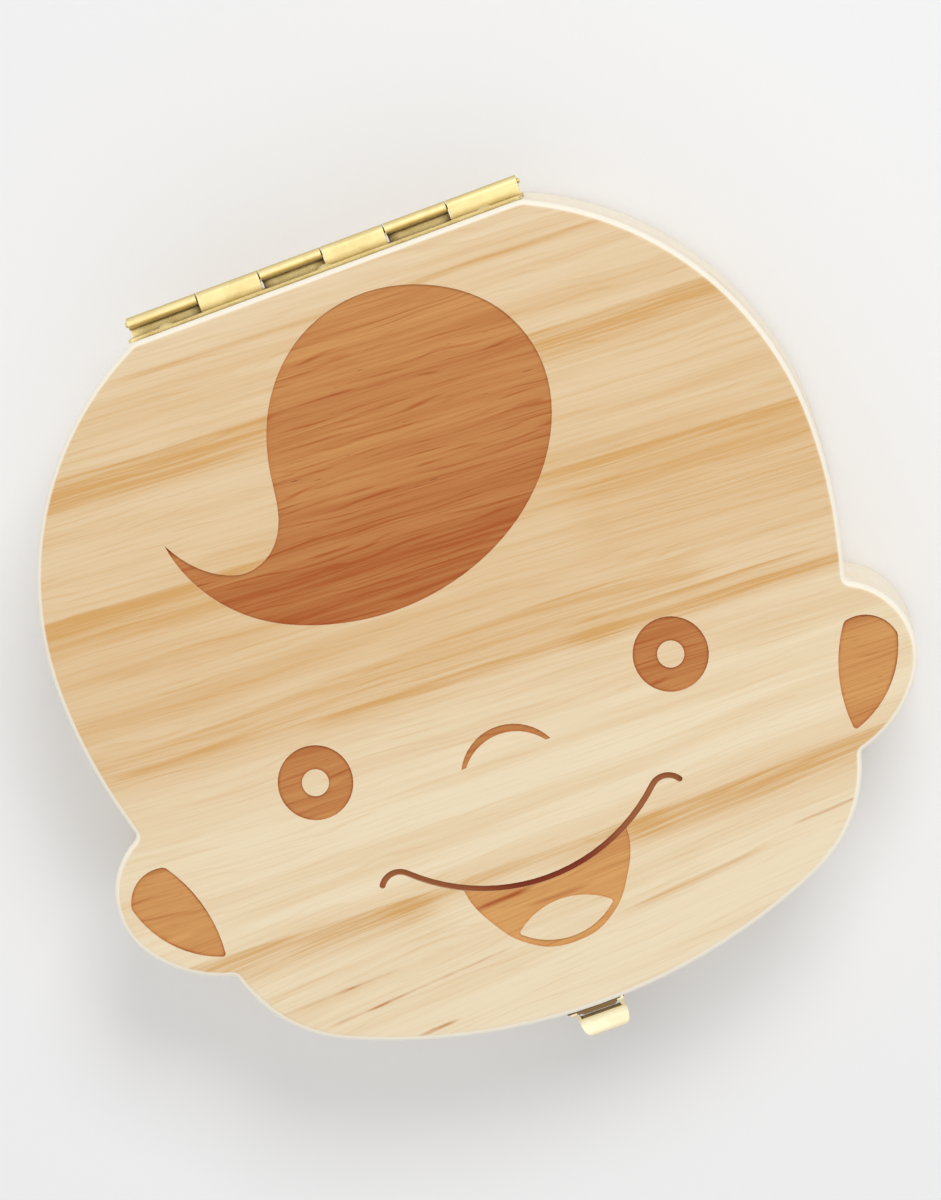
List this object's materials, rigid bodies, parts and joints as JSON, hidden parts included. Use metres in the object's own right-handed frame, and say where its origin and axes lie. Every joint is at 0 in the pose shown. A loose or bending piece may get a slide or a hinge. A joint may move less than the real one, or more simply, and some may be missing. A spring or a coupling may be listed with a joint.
{
  "type": "baby tooth box",
  "caption": "Wooden keepsake box shaped like a smiling baby's head, with a brass hinge at the crown, a swinging latch at the chin, tooth wells and a corked vial.",
  "frame": {"origin": "middle of the footprint on the surface that the box lies on", "axes": "+Z out of the engraved face, +Y towards the hinge at the top of the head, +X to the right of the face as a viewer sees it"},
  "size_m": [0.1248, 0.1256, 0.029],
  "materials": {
    "pine": "bare sanded pine with burnt-in engraving",
    "brass": "plated thin sheet, semi-bright",
    "glass": "clear",
    "cork": "natural cork"
  },
  "bodies": {
    "base": {"base_block": "pine", "hinge_leaf_base": "brass", "hinge_nails_base": "brass", "hinge_pin": "brass", "catch_plate": "brass", "catch_nails": "brass", "lanugo_vial": "glass", "vial_cork": "cork"},
    "lid": {"lid_board": "pine", "hinge_leaf_lid": "brass", "hinge_nails_lid": "brass", "latch_plate": "brass", "latch_nails": "brass", "latch_pin": "brass"},
    "flap": {"latch_flap": "brass"}
  },
  "joints": [
    {"name": "lid_hinge", "type": "hinge", "parent": "base", "child": "lid", "pos_m": [-0.0005, 0.06187, 0.01865], "axis": [-1, 0, 0], "range_deg": [0, 180]},
    {"name": "latch_swing", "type": "hinge", "parent": "lid", "child": "flap", "pos_m": [-0.0011, -0.05722, 0.02], "axis": [-1, 0, 0], "range_deg": [-26, 134]}
  ]
}
